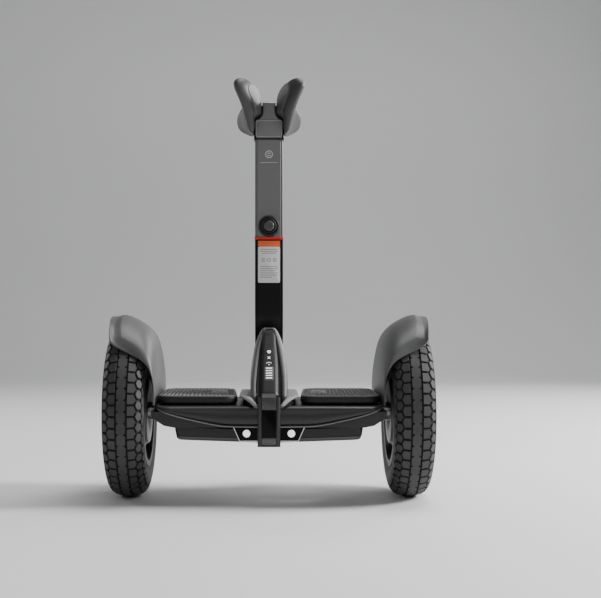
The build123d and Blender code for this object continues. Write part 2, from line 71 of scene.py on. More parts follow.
def smooth_table(table, t):
    """Catmull-Rom look-up of y in a table of (x, y) pairs sorted by x."""
    if t <= table[0][0]:
        return table[0][1]
    for i, ((x0, y0), (x1, y1)) in enumerate(zip(table, table[1:])):
        if t <= x1:
            before, after = table[max(i - 1, 0)], table[min(i + 2, len(table) - 1)]
            h = x1 - x0
            m0 = (y1 - before[1]) / (x1 - before[0]) * h
            m1 = (after[1] - y0) / (after[0] - x0) * h
            s = (t - x0) / h
            d = y1 - y0
            return y0 + s * (m0 + s * (3 * d - 2 * m0 - m1 + s * (m0 + m1 - 2 * d)))
    return table[-1][1]


def walked(points):
    """Distance along a path at each of its points."""
    lengths = [0]
    for a, b in zip(points, points[1:]):
        lengths.append(lengths[-1] + dist(a, b))
    return lengths


def smooth_path(points, shares):
    """Points at shares of the length of a smooth curve through the given points."""
    lengths = walked(points)
    tables = [[(s, p[k]) for s, p in zip(lengths, points)] for k in range(len(points[0]))]
    return [tuple(smooth_table(t, lengths[-1] * share) for t in tables) for share in shares]


# ---- objects ----
def add_object(name, data):
    obj = bpy.data.objects.new(name, data)
    bpy.context.collection.objects.link(obj)
    return obj


def add_mesh(name, shape, look, smooth):
    """A linked mesh object, shaded smooth where faces meet below an angle."""
    verts, faces = shape
    mesh = bpy.data.meshes.new(name)
    mesh.from_pydata([tuple(c * MM for c in v) for v in verts], [], faces)
    tool = bmesh.new()
    tool.from_mesh(mesh)
    bmesh.ops.remove_doubles(tool, verts=tool.verts, dist=1e-6)
    bmesh.ops.recalc_face_normals(tool, faces=tool.faces)
    tool.to_mesh(mesh)
    tool.free()
    mesh.materials.append(MAT[look])
    for face in mesh.polygons:
        face.use_smooth = smooth > 0
    if smooth > 0:
        mesh.set_sharp_from_angle(angle=radians(smooth))
    return add_object(name, mesh)


def piece(name, shape, look, body="chassis", smooth=30, replaces=""):
    """A visible piece on a body; one that is named like a CAD node takes that node's place."""
    obj = add_mesh(name, shape, look, smooth)
    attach(obj, body)
    node = replaces or name
    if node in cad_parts:
        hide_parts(node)
    return obj


def pairs(body, *rows):
    """Right-hand pieces, then their mirror images; {} in the body's name stands for the hand."""
    made = []
    for hand, side in HANDS:
        for kind, (verts, faces), look, slot, smooth in rows:
            shape = [(side * x, y, z) for x, y, z in verts], faces
            made.append(piece(f"{kind}_{hand}", shape, look, body.format(hand), smooth))
    return made


def paint(obj, look, chosen):
    """Gives a second material to the faces that pass a test."""
    obj.data.materials.append(MAT[look])
    for face in obj.data.polygons:
        face.material_index = int(chosen(face))


def thicken(obj, wall):
    """Gives an open skin an even wall on its inner side."""
    mod = obj.modifiers.new("wall", "SOLIDIFY")
    mod.thickness = wall * MM
    mod.offset = -1


# ---- shapes ----
def grid(rows, close_u=False, close_v=False):
    """Points and quads of a grid given as rows of points."""
    n, m = len(rows), len(rows[0])
    verts = [p for row in rows for p in row]
    faces = []
    for i in range(n if close_u else n - 1):
        for j in range(m if close_v else m - 1):
            a, b, step = i * m, (i + 1) % n * m, (j + 1) % m
            faces.append((a + j, a + step, b + step, b + j))
    return verts, faces


def loft(rings):
    """A closed skin with flat ends over rings with the same number of points."""
    verts, faces = grid(rings, close_v=True)
    m, n = len(rings[0]), len(rings)
    return verts, faces + [tuple(range(m))[::-1], tuple(range((n - 1) * m, n * m))]


def join(*shapes):
    """Several shapes as one."""
    verts, faces = [], []
    for v, f in shapes:
        base = len(verts)
        verts += v
        faces += [tuple(i + base for i in face) for face in f]
    return verts, faces


def rect(u0, u1, v0, v1):
    return [(u0, v0), (u1, v0), (u1, v1), (u0, v1)]


def round_rect(x0, x1, y0, y1, r, n=6):
    """Corner points of a rounded rectangle, anticlockwise."""
    points = []
    for cx, cy, start in ((x1 - r, y1 - r, 0), (x0 + r, y1 - r, 90), (x0 + r, y0 + r, 180),
                          (x1 - r, y0 + r, 270)):
        for angle in span(start, start + 90, n):
            a = radians(angle)
            points.append((cx + r * cos(a), cy + r * sin(a)))
    return points


def inset_ring(points, by):
    """An outline shrunk towards its middle by a distance along each axis."""
    us, vs = zip(*points)
    cu, cv = (min(us) + max(us)) / 2, (min(vs) + max(vs)) / 2
    hu, hv = (max(us) - min(us)) / 2, (max(vs) - min(vs)) / 2
    return [(cu + (u - cu) * (1 - by / hu), cv + (v - cv) * (1 - by / hv)) for u, v in points]


# In the next four, place(u, v, w) is a point on a face: across, up, and proud of it.
def prism(points, place, low, high):
    """A flat outline pushed from one height to another."""
    return loft([[place(*p, w) for p in points] for w in (low, high)])


def plate(points, place, low, high, edge):
    """A plate between two heights with a rounded upper edge."""
    return loft([[place(*p, w) for p in inset_ring(points, by)] for by, w in (
        (0, low), (0, high - edge), (edge * 0.3, high - edge * 0.3), (edge, high))])


def tile(half, v0, v1, r, n, place, low, high, edge):
    """A round-cornered plate centred across its face."""
    return plate(round_rect(-half, half, v0, v1, r, n), place, low, high, edge)


def turned(place, profile, n, at=(0, 0), reach=lambda r, a: r):
    """Rings of n points around a point of a face, from (radius, height) pairs."""
    rings = []
    for radius, w in profile:
        ring = []
        for k in range(n):
            a = 2 * pi * k / n
            r = reach(radius, a)
            ring.append(place(at[0] + r * cos(a), at[1] + r * sin(a), w))
        rings.append(ring)
    return grid(rings, close_v=True)


# ---- materials ----
MAT = {}


def surface(key, name, colour, rough, tone=0.12, bump=0.08, cloud=18, grain=900, spread=0.06,
            metallic=0, specular=0.5, coat=0, emission=0, scratches=0):
    """A surface with clouded colour (a grey level or a triple), uneven roughness and grain."""
    colour = colour if isinstance(colour, tuple) else (colour,) * 3
    mat = MAT[key] = bpy.data.materials.new(name)
    mat.use_nodes = True
    tree = mat.node_tree

    def fill(node, inputs):
        """Sets a node's inputs to values or links them to other nodes' outputs."""
        for socket, value in inputs.items():
            if isinstance(value, bpy.types.NodeSocket):
                tree.links.new(value, node.inputs[socket])
            else:
                node.inputs[socket].default_value = value
        return node.outputs

    def add(kind, inputs, **settings):
        node = tree.nodes.new("ShaderNode" + kind)
        for setting, value in settings.items():
            setattr(node, setting, value)
        return fill(node, inputs)

    def ramp(source, low, high):
        """Maps a 0-1 value onto the span from low to high."""
        return add("MapRange", {"To Min": low, "To Max": high, "Value": source})["Result"]

    place = add("TexCoord", {})["Object"]
    clouds = add("TexNoise", {"Scale": cloud, "Detail": 6, "Vector": place})["Fac"]
    speck = height = add("TexNoise", {"Scale": grain, "Detail": 3, "Vector": place})["Fac"]
    blend = add("Mix", {"A": (*[c * (1 - tone) for c in colour], 1),
                        "B": (*[min(c * (1 + tone) + tone * 0.01, 1) for c in colour], 1),
                        "Factor": clouds}, data_type="RGBA")["Result"]
    uneven = add("Math", {0: clouds, 1: 0.6, 2: ramp(speck, 0, 0.4)}, operation="MULTIPLY_ADD")[0]
    if scratches:
        stretch = add("Mapping", {"Scale": (1, 14, 1), "Vector": place})["Vector"]
        lines = add("TexNoise", {"Scale": 260, "Vector": stretch})["Fac"]
        height = add("Math", {0: lines, 1: scratches, 2: speck}, operation="MULTIPLY_ADD")[0]
    relief = add("Bump", {"Strength": bump, "Distance": 0.0006, "Height": height})["Normal"]
    fill(tree.nodes["Principled BSDF"], {
        "Base Color": blend, "Metallic": metallic, "Normal": relief, "Specular IOR Level": specular,
        "Roughness": ramp(uneven, rough - spread, rough + spread), "Coat Weight": coat,
        "Coat Roughness": 0.12, "Emission Color": (1, 1, 1, 1), "Emission Strength": emission})


# key, name, colour, roughness, spread of tone, bump, size of clouds, grain
# wheels
surface("tyre", "tyre_rubber", 0.043, 0.62, 0.35, 0.25, 40, 1400, spread=0.12, specular=0.4)
# painted light: sidewall rubber lighter than the tread, standing in for the strong light on it
surface("lit_sidewall", "tyre_sidewall_painted_light", 0.065, 0.66, 0.3, 0.2, 25, spread=0.1, specular=0.35)
# painted shade: near-black rubber for the floors of the tread grooves
surface("groove_shade", "tyre_groove_painted_shade", 0.006, 0.8, 0.3, 0.1, 25)
surface("hub_light", "hub_light", 0.14, 0.44, 0.1, 0.06, metallic=0.2)
surface("rim", "rim_silver", (0.06, 0.06, 0.0612), 0.5, 0.08, 0.05, specular=0.25)
surface("hub_cap", "hub_grey", (0.06, 0.06, 0.0618), 0.4, metallic=0.4, bump=0.06)
# body
surface("fender", "fender_grey", (0.08, 0.08, 0.0816), 0.43, 0.07, 0.06, 9, 1500, spread=0.05)
surface("cover", "cover_black", 0.022, 0.38, cloud=8, grain=1500, bump=0.07, specular=0.4)
surface("tray", "tray_metal", 0.022, 0.55, 0.2, 0.2, 30, 700, metallic=0.1)
surface("battery", "battery_black", 0.018, 0.44, 0.15, cloud=14, grain=1200, specular=0.4)
surface("battery_edge", "battery_edge", 0.06, 0.36, 0.1, 0.06, 14, 1200)
surface("spine", "spine_grey", 0.034, 0.36, 0.08, 0.05, 12, 1500, specular=0.4)
surface("spine_face", "spine_face", 0.048, 0.34, 0.08, 0.05, 12, 1500, specular=0.4)
surface("gloss", "gloss_black", 0.002, 0.22, 0.3, 0.015, 6, 500, spread=0.04, specular=0.1)
surface("chrome", "trim_chrome", 0.55, 0.16, 0.05, 0.02, metallic=1, spread=0.05)
surface("skirt", "skirt_grey", (0.27, 0.27, 0.2754), 0.42, 0.06, 0.05, 12)
# painted highlight: light grey for the lit lip of the lower shell under the cover
surface("painted_highlight_line", "painted_highlight_line", 0.17, 0.4, 0.08, 0.05)
surface("hump", "hump_grey", 0.105, 0.38, 0.07, 0.05, 9, 1500)
surface("console", "console_black", 0.018, 0.46, cloud=9, bump=0.04, specular=0.3)
surface("mark", "display_mark", 0.85, 0.4, 0.03, emission=0.9)
surface("mark_dim", "display_dim", 0.11, 0.5, 0.05, emission=0.03)
surface("lamp", "lamp_white", 0.9, 0.2, 0.03, coat=0.4, emission=1.2)
# steering bar
surface("post", "post_black", 0.004, 0.34, 0.3, 0.05, 8, metallic=0.2, specular=0.3)
surface("sleeve", "sleeve_grey", 0.165, 0.44, 0.05, 0.07, 9, 1600, metallic=0.25)
# painted highlight: light grey for edges that catch the light, on the head frame and the neck's top
surface("edge_highlight", "painted_highlight_grey", 0.34, 0.34, 0.06, 0.04, metallic=0.2)
surface("head", "head_grey", 0.175, 0.46, 0.06, 0.07, metallic=0.15)
surface("neck", "neck_grey", 0.16, 0.4, 0.06, 0.06, metallic=0.15)
# near-black used as painted shade in gaps, slots and recesses, and as print on the button and gauge
surface("gap", "painted_shade_and_print_black", 0.003, 0.7, 0.2, 0.05)
surface("red", "ring_red", (0.75, 0.02, 0.012), 0.28, 0.06, 0.04, coat=0.3)
surface("orange", "label_orange", (0.72, 0.14, 0.03), 0.5, 0.05, 0.04)
surface("label", "label_white", 0.74, 0.52, 0.04, 0.05)
surface("label_ink", "label_ink", 0.2, 0.6, 0.1, 0.05)
surface("mark_plain", "mark_plain", 0.62, 0.4, 0.05, 0.04)
surface("knob", "knob_black", 0.008, 0.6, 0.25)
surface("knob_disc", "knob_disc", 0.06, 0.34, 0.1, 0.06)
# pads
surface("knee", "knee_rubber", 0.046, 0.46, cloud=22, grain=1300, bump=0.12, spread=0.07,
        specular=0.45)
surface("knee_back", "knee_shell", 0.085, 0.42, 0.08)
surface("mat", "pad_rubber", 0.085, 0.52, cloud=30, grain=1200, bump=0.1)
# painted shade: the pads' rounded sides darker than their top
surface("shaded_pad_side", "pad_side_painted_shade", 0.014, 0.52, cloud=20, bump=0.12, specular=0.35)
surface("mat_patch", "pad_patch", 0.075, 0.45, 0.1, 0.06, 20)
# parts inside, and the floor
surface("steel", "bearing_steel", 0.55, 0.28, 0.06, 0.05, metallic=1, scratches=0.5)
surface("dark_steel", "magnet_steel", 0.3, 0.36, 0.1, metallic=1)
surface("alu", "tube_aluminium", 0.6, 0.32, 0.05, 0.05, metallic=1, scratches=0.8)
surface("copper", "stator_copper", (0.62, 0.27, 0.13), 0.35, 0.15, 0.3, metallic=0.9, scratches=1)
surface("brass", "brass_contact", (0.72, 0.5, 0.2), 0.25, 0.06, 0.04, metallic=1)
surface("board", "board_green", (0.02, 0.11, 0.05), 0.4, 0.25, 0.2, 120, 700)
surface("cell", "cell_blue", (0.03, 0.09, 0.24), 0.3, 0.08, 0.04)
surface("soft_black", "valve_rubber", 0.015, 0.6, 0.2, 0.2)
surface("switch", "switch_black", 0.012, 0.5, 0.2, 0.1)
surface("floor", "studio_floor", 0.8, 0.6, 0.02, 0.02, 2, 300)


# ---- wheels ----
WHEEL_X, WHEEL_R = 230, 140
PITCHES, TREAD_PHASE = 48, 0.13
GROOVE, SHOULDER = 3.4, 41  # depth of the tread, and how far from the crown it goes
# the tyre's section as (x, radius), from the crown to the bead
TREAD = [(0, 140), (8, 139.7), (14, 138.7), (20, 136.6), (24.5, 133.8), (28, 130), (30.6, 125),
         (32.4, 119), (33.3, 112), (33.3, 105), (31.6, 98), (29, 92.5), (27.2, 91), (26.6, 86.5)]
# outlines in (arc length from the crown, share of a pitch)
RIB_TILES = ([(-6.9, 0), (6.9, 0), (6.9, 0.32), (4.2, 0.4), (4.2, 0.5), (-4.2, 0.5), (-4.2, 0.4),
              (-6.9, 0.32)],
             [(-4.2, 0.5), (4.2, 0.5), (6.9, 0.54), (6.9, 1), (-6.9, 1), (-6.9, 0.54)])
# the same, then depth and chamfer, of the middle blocks, the outer blocks and the side lugs
BLOCKS = (([(9.7, 0.09), (20.2, 0.09), (23.4, 0.5), (20.2, 0.91), (9.7, 0.91)], GROOVE, 0.55),
          ([(23, 0.02), (26, -0.33), (32.2, -0.41), (36.4, -0.2), (36.4, 0.2), (32.2, 0.41),
            (26, 0.35)], GROOVE, 0.55),
          ([(39.2, 0.12), (48, 0.18), (50, 0.5), (48, 0.82), (39.2, 0.88), (37.4, 0.5)],
           1.6, 0.4))


def around(x, r, a):
    """A point beside the wheel's middle plane, at a radius and an angle about the axle."""
    return (WHEEL_X + x, r * sin(a), WHEEL_R + r * cos(a))


def revolve(profile, steps):
    """A surface of revolution about the axle, from (x, radius) points."""
    return grid([[around(x, r, 2 * pi * i / steps) for x, r in profile] for i in range(steps)],
                close_u=True)


def tread_point(t, inset):
    """A point on the tyre's section at an arc length from the crown, set in along the normal."""
    sign = -1 if t < 0 else 1
    left = abs(t)
    for (x0, r0), (x1, r1) in zip(TREAD, TREAD[1:]):
        step = hypot(x1 - x0, r1 - r0)
        if left <= step or (x1, r1) == TREAD[-1]:
            k = left / step
            nx, nr = (r0 - r1) / step, (x1 - x0) / step
            return sign * (x0 + (x1 - x0) * k - nx * inset), r0 + (r1 - r0) * k - nr * inset
        left -= step


def on_tread(t, share, inset):
    """A point of the tread at a number of pitches round the wheel."""
    return around(*tread_point(t, inset), 2 * pi * (share + TREAD_PHASE) / PITCHES)


def tread_block(outline, depth, edge):
    """A tread block with a chamfered edge, reaching just below the groove's floor."""
    ct, cs = (sum(values) / len(outline) for values in zip(*outline))
    pitch = 2 * pi * WHEEL_R / PITCHES
    inner = []
    for t, s in outline:
        k = 1 - edge / max(hypot(t - ct, (s - cs) * pitch), 0.1)
        inner.append((ct + (t - ct) * k, cs + (s - cs) * k))
    return loft([[on_tread(t, s, inset) for t, s in ring]
                 for ring, inset in ((outline, depth + 0.4), (outline, edge), (inner, 0))])


def rib_tile(outline):
    """One stretch of the centre rib, open at its two ends so that the tiles join up."""
    ends = min(s for _, s in outline), max(s for _, s in outline)
    n = len(outline)
    verts = [on_tread(t, s, inset) for inset in (GROOVE + 0.4, 0) for t, s in outline]
    faces = [tuple(range(n, 2 * n))]
    for i in range(n):
        j = (i + 1) % n
        if not (outline[i][1] == outline[j][1] and outline[i][1] in ends):
            faces.append((i, j, n + j, n + i))
    return verts, faces


def tyres():
    """Air-filled tyres: carcass, centre rib with notches, and two interlocking rows of blocks."""
    half = (4, 12, 20, 27, 34, 41, 43.5, 46, 50, 54, 58, 62)
    outside = sum(t > SHOULDER for t in half)
    section = [(-26.6, 86.2)]
    for t in [-t for t in half[::-1]] + list(half):
        section.append(tread_point(t, min(max(GROOVE - (abs(t) - SHOULDER) * 1.2, 0), GROOVE)))
    section.append((26.6, 86.2))
    across = len(section) - 1
    blocks = []
    for i in range(PITCHES):
        blocks += [rib_tile([(t, i + s) for t, s in outline]) for outline in RIB_TILES]
        for sign in (-1, 1):
            blocks += [tread_block([(sign * t, i + s) for t, s in outline], depth, edge)
                       for outline, depth, edge in BLOCKS]
    bead = ((31.8, 104), (32.6, 103), (32.2, 101.6), (31, 101.2))
    beads = [revolve([(sign * x, r) for x, r in bead], 120) for sign in (1, -1)]
    # the carcass and the bead lines take the lighter sidewall rubber as painted light
    made = pairs("{}_wheel", ("tyre", revolve(section, 204), "lit_sidewall", "tyre_rubber", 35),
                 ("tread", join(*blocks), "tyre", "tyre_rubber", 25),
                 ("rim_line", join(*beads), "lit_sidewall", "tyre_rubber", 60))
    for carcass in made[::3]:
        # the groove floors between the blocks get the rubber darkened as painted shade
        paint(carcass, "groove_shade", lambda face: outside <= face.index % across < across - outside)


def hubs():
    """Outer caps with a dished face and six screws, and inner covers that bulge inboard."""
    cap = revolve([(20, 58), (24, 58), (25.2, 57), (26, 52), (27.6, 47), (28.4, 45), (27.4, 43.5),
                   (27.6, 41), (29.4, 36), (30.6, 26), (30.6, 17), (30, 15.5), (30.9, 14.4),
                   (31, 0.01)], 120)
    screw = ((2.9, 25), (2.9, 27), (2.3, 27.8), (1.3, 27.8), (1.3, 26.8), (0.01, 26.8))
    heads = []
    for i in range(6):
        _, y, z = around(0, 51.5, radians(60 * i + 30))
        heads.append(turned(lambda u, v, w: (WHEEL_X + w, v, u), screw, 18, (z, y)))
    pairs("{}_wheel", ("hub_cap", cap, "hub_cap", "hub_grey", 30),
          ("hub_screws", join(*heads), "steel", "bearing_steel", 30))
    inside = revolve([(-20, 17.6), (-28.5, 17.6), (-29, 18.4), (-30.6, 30), (-31.6, 33),
                      (-31.6, 50.5), (-31, 52), (-26, 54.5), (-24.5, 57.2), (-23.8, 58),
                      (-20, 58)], 120)
    pairs("{}_wheel", ("inner_cover", inside, "hub_light", "hub_grey", 30))


tyres()
hubs()


# ---- fenders ----
# (x, z) along the arch's crest and along its two lower ends, and how far the ends are from y = 0
FENDER_TOP = [(260.4, 300), (253, 300.4), (246.5, 300.6), (241, 300.6), (236, 300),
              (227, 297.3), (215, 291.3), (203, 283.5), (193.5, 274), (187.2, 263), (183.6, 250),
              (181.6, 234), (180.4, 216), (179.9, 195), (179.9, 182), (180, 173), (180.2, 165),
              (180.4, 157.4)]
FENDER_END = [(252.4, 266), (251.2, 261.5), (248.8, 257), (245.2, 253), (240.6, 249.8),
              (233, 245.9), (222, 240.4), (211.5, 235), (203, 229.6), (196.5, 224), (191.6, 218),
              (188, 211.4), (185.4, 204.5), (183.4, 197.5), (182.2, 190), (181.4, 180.5),
              (181.2, 169), (181.2, 157.4)]
FENDER_REACH = [98, 99.5, 101, 102.5, 103.5, 105, 107, 108.6, 109.8, 110.6, 111.2, 111.6,
                *[112] * 6]
FENDER_ROWS, FENDER_COLUMNS, FENDER_CROWD = 120, 141, 1.6
FENDER_HEART = (222, 0, 200)
FENDER_BAND = [(0, 19.5), (0.2, 19.5), (0.29, 18), (0.41, 13.5), (0.53, 10)]
FENDER_WALL = 2.2


def fender_skin():
    """The arch's outer skin: a dome, then a sloping facet, then a lower band along the edge."""
    shares = [t ** FENDER_CROWD for t in span(0, 1, FENDER_ROWS - 1)]
    paths = [smooth_path(points, shares)
             for points in (FENDER_TOP, FENDER_END, list(enumerate(FENDER_REACH)))]
    rows = []
    for k, top, end, (_, reach) in zip(shares, *paths):
        power = 2 / (2 + 0.5 * smooth_step(0.2, 0.9, k))
        stop = radians(54 + 36 * smooth_step(-0.1, 0.5, k))
        row = []
        for v in span(-1, 1, FENDER_COLUMNS - 1):
            a = abs(v) * stop
            h = (sin(a) / sin(stop)) ** power
            g = (1 - max(cos(a), 0) ** power) / (1 - max(cos(stop), 0) ** power)
            row.append((top[0] + (end[0] - top[0]) * g ** 1.1, copysign(reach * h, v),
                        top[1] + (end[1] - top[1]) * g))
        rows.append(row)
    skin = np.array(rows)
    limit = int(FENDER_ROWS * 0.8)
    edge = np.concatenate([skin[:limit, 0], skin[:limit, -1], skin[0]])
    away = skin - np.array(FENDER_HEART)
    away /= np.linalg.norm(away, axis=2, keepdims=True)
    sunk = []
    for points, out, k in zip(skin, away, shares):
        gap = np.linalg.norm(points[:, None, :] - edge[None, :, :], axis=2).min(axis=1)
        outer = lerp_table(FENDER_BAND, k)
        inner = np.maximum(outer - 8.5 - 7 * (np.abs(points[:, 1]) / 112) ** 2, 1.5)
        depth = 1 - np.clip((gap - inner) / (outer - inner), 0, 1)
        depth *= 2.5 * (1 - smooth_step(0.2, 0.56, k))
        sunk.append([tuple(p) for p in points - out * depth[:, None]])
    return grid(sunk)


for mudguard in pairs("chassis", ("fender", fender_skin(), "fender", "fender_grey", 16)):
    thicken(mudguard, FENDER_WALL)


# ---- body ----
COVER_HALF, COVER_TOP, COVER_BACK, COVER_WALL = 182, 157, -115, 2.4
COVER_EDGE = [(0, 126), (40, 126.3), (75, 127.6), (118, 136), (150, 144), (182, 155)]
CASE_TOP = 122.5


def cover_edge(x):
    """Height of the cover's curved lower edge, and how much its ends are drawn in."""
    tuck = (max(abs(x) / COVER_HALF - 0.86, 0) / 0.14) ** 2.4
    return smooth_table(COVER_EDGE, abs(x)), tuck


def top_cover():
    """Upper cover: a bowed shell with a smile-shaped lower edge, and below it a lighter line, the
    lower shell's lip coloured as a painted highlight.
    """
    rows = []
    for x in span(-COVER_HALF, COVER_HALF, 72):
        low, tuck = cover_edge(x)
        high = COVER_TOP
        back, front = COVER_BACK + 20 * tuck, 105 - 18 * tuck
        tall = min((high - low) / 30, 1)
        row = []
        for share in span(0, 1, 16):
            if share < 0.34:
                bow = 4.5 * tall * (1 - sqrt(1 - ((0.34 - share) / 0.34) ** 2))
            else:
                bow = 10.5 * (1 - sqrt(max(1 - ((share - 0.34) / 0.66) ** 2, 0)))
            row.append((x, back + bow, low + (high - low) * share))
        row += [(x, y, high) for y in (-80, 0, 80, front - 8)]
        row += [(x, front - 4, high - 1), (x, front - 1.4, high - 4),
                (x, front, low + (high - low) * 0.5), (x, front, low)]
        rows.append(row)
    thicken(piece("top_cover", grid(rows), "cover", smooth=40), COVER_WALL)
    rows = []
    for x in span(-176, 176, 64):
        low, tuck = cover_edge(x)
        back = COVER_BACK + 20 * tuck
        rows.append([(x, back + y, low - z) for y, z in ((0.4, 0.4), (-0.6, 1.2), (-0.4, 2.4),
                                                         (6, 3), (6, 0))])
    # the lip below the cover's edge, light grey as a painted highlight
    piece("cover_trim", loft(rows), "painted_highlight_line", smooth=40)


def battery():
    """Battery case with a parting seam and a bevelled belly; wider rings get more points."""
    def belly(x):
        return 96.6 + 4.9 * abs(x) / 143

    def on_edge(face):
        x, _, z = face.center / MM
        return belly(x) + 0.3 < z < belly(x) + 6

    rows = []
    for lift, inset in ((0, 5), (1.4, 2), (3.6, 0.5), (6, 0), (6.2, 1.2), (7, 1.2),
                        (7.2, 0), (20.4, 0), (21, 0.6)):
        ring, row = [], []
        for x, y in round_rect(-1, 1, -1, 1, 0.06, 5):
            half = 146.6 + (min(belly(x * 143) + lift, CASE_TOP) - 101.5) * 3.7 / 21
            ring.append((x * (half - inset), -2 + y * (90 - inset)))
        for (x0, y0), (x1, y1) in zip(ring, ring[1:] + ring[:1]):
            steps = max(1, int(abs(x1 - x0) / 12))
            for t in span(0, 1, steps)[:-1]:
                x = x0 + (x1 - x0) * t
                row.append((x, y0 + (y1 - y0) * t, min(belly(x) + lift, CASE_TOP)))
        rows.append(row)
    case = piece("battery_case", loft(rows), "battery", smooth=25)
    paint(case, "battery_edge", on_edge)


top_cover()
battery()


# ---- spine ----
SPINE_BACK = -115


def rear(u, v, w):
    """A point of a face towards the rider: w is how far it stands behind the spine's back."""
    return (u, SPINE_BACK - w, v)


def spine():
    """Centre band: two rails, a satin cap, a gloss panel, dark gaps between as painted shade, a
    charging cap.
    """
    # near-black back plate that shows in the gaps between the parts as painted shade
    piece("spine_back", tile(17.6, 94.4, 171.2, 0.6, 3, rear, -0.2, 2.4, 0.3), "gap",
          replaces="spine")
    section = [(18, 0), (17.8, 1.6), (16.6, 3.2), (15.2, 4.1), (13, 4.1), (12.2, 3.6), (12, 2),
               (12, 0)]
    levels = ((93.8, 0.7), (94.6, 0.2), (97, 0), (140, 0), (168, 0), (171.4, 0.6))
    rails = [loft([[rear(side * x, z, max(w - lift, 0)) for x, w in section] for z, lift in levels])
             for side in (-1, 1)]
    piece("spine_rails", join(*rails), "spine", smooth=25)
    piece("spine_cap", tile(11.4, 151.6, 170.8, 1, 3, rear, 2, 4.4, 0.8), "spine_face")
    elbow = [[rear(x, z, w + 0.02 * (abs(x) - 8)) for x in (-11.2, -6, 0, 6, 11.2)]
             for w, z in ((0.6, 164), (4.2, 169.2), (3.6, 171.4), (1, 172.9), (-6, 174.2),
                          (-13, 176.2), (-16, 172))]
    piece("spine_elbow", grid(elbow), "spine_face", smooth=50)
    piece("spine_panel", tile(11.4, 108.5, 150.2, 1, 3, rear, 2, 4, 0.7), "gloss")
    # soft cap of the charging socket with a finger lip along its lower edge
    lid = tile(11.4, 97.4, 107.2, 1.4, 4, rear, 1.4, 3.4, 0.7)
    lip = tile(6, 97, 98.8, 0.6, 3, rear, 2, 4.6, 0.4)
    piece("charge_cap", join(lid, lip), "hump", "cap")


spine()


# ---- hump and display ----
FOOT_POINT, HEAD_POINT = Vector((0, -100, 172)), Vector((0, -14, 275))
UP_SLOPE = (HEAD_POINT - FOOT_POINT).normalized()
OFF_SLOPE = Vector((0, -UP_SLOPE.z, UP_SLOPE.y))
HUMP_FOOT, HUMP_TOP = 156, 279
HUMP_WIDTH = [(150, 29.8), (177, 29.6), (195, 30), (215, 28.6), (235, 25.9), (250, 23), (262, 19.2),
              (271, 15.2), (276.5, 11.6), (279, 8.6)]
HUMP_FRONT = [(150, 78), (172, 72), (212, 46), (256, 22), (274, 6), (279, -4)]
LIP_SHARE = [(172, 0.72), (190, 0.71), (221, 0.66), (248, 0.6), (270, 0.56), (279, 0.55)]
CONSOLE_WIDTH = [(0.8, 14.9), (40, 14.8), (70, 14.3), (100, 12.6), (126, 11.2)]
CONSOLE_TOP, CONSOLE_FLAT = 2.5, 0.675
BUTTON_AT, BUTTON_HOLE, BUTTON_REACH = 86.6, 4.4, 6.4
SKIRT_TOP, SKIRT_LOW = 171.5, 157.2
# inner and outer edge of the skirt in plan, and how far its top has come down
SKIRT = [(0, 79, 0, 86, 0), (14, 79, 18, 86, 0), (26, 79, 36, 86, 0), (28.6, 78.4, 42, 84.5, 0),
         (29.4, 77, 46.5, 80, 0), (29.4, 73, 48, 73, 0), (29.4, 20, 48, 20, 0),
         (29.4, -40, 48, -40, 0), (29.4, -72, 47.8, -72, 0), (29.4, -84, 46.4, -84, 0),
         (29, -94, 42.6, -94, 0.3), (27.4, -101, 37.2, -101, 1.9), (24, -107, 31.4, -107, 5.3),
         (20.6, -112, 26.2, -112, 9.6), (18, -115.6, 22.2, -115.6, 13.3)]


def on_slope(u, s, w):
    """A point on the display face: u across, s up the slope, w above it."""
    return tuple(Vector((u, 0, 0)) + FOOT_POINT + UP_SLOPE * s + OFF_SLOPE * w)


def hump_back(z):
    return max(z - 172, 0) * 86 / 103 - 100


def hump_lip(z):
    """How far from the middle plane the valley for the console ends."""
    return smooth_table(HUMP_WIDTH, z) * lerp_table(LIP_SHARE, z)


# faces of the console's valley, which are coloured near-black as painted shade
def in_valley(face):
    x, y, z = face.center / MM
    return abs(x) < hump_lip(z) * 0.97 and -1 < y - hump_back(z) < 7 and z < HUMP_TOP - 2


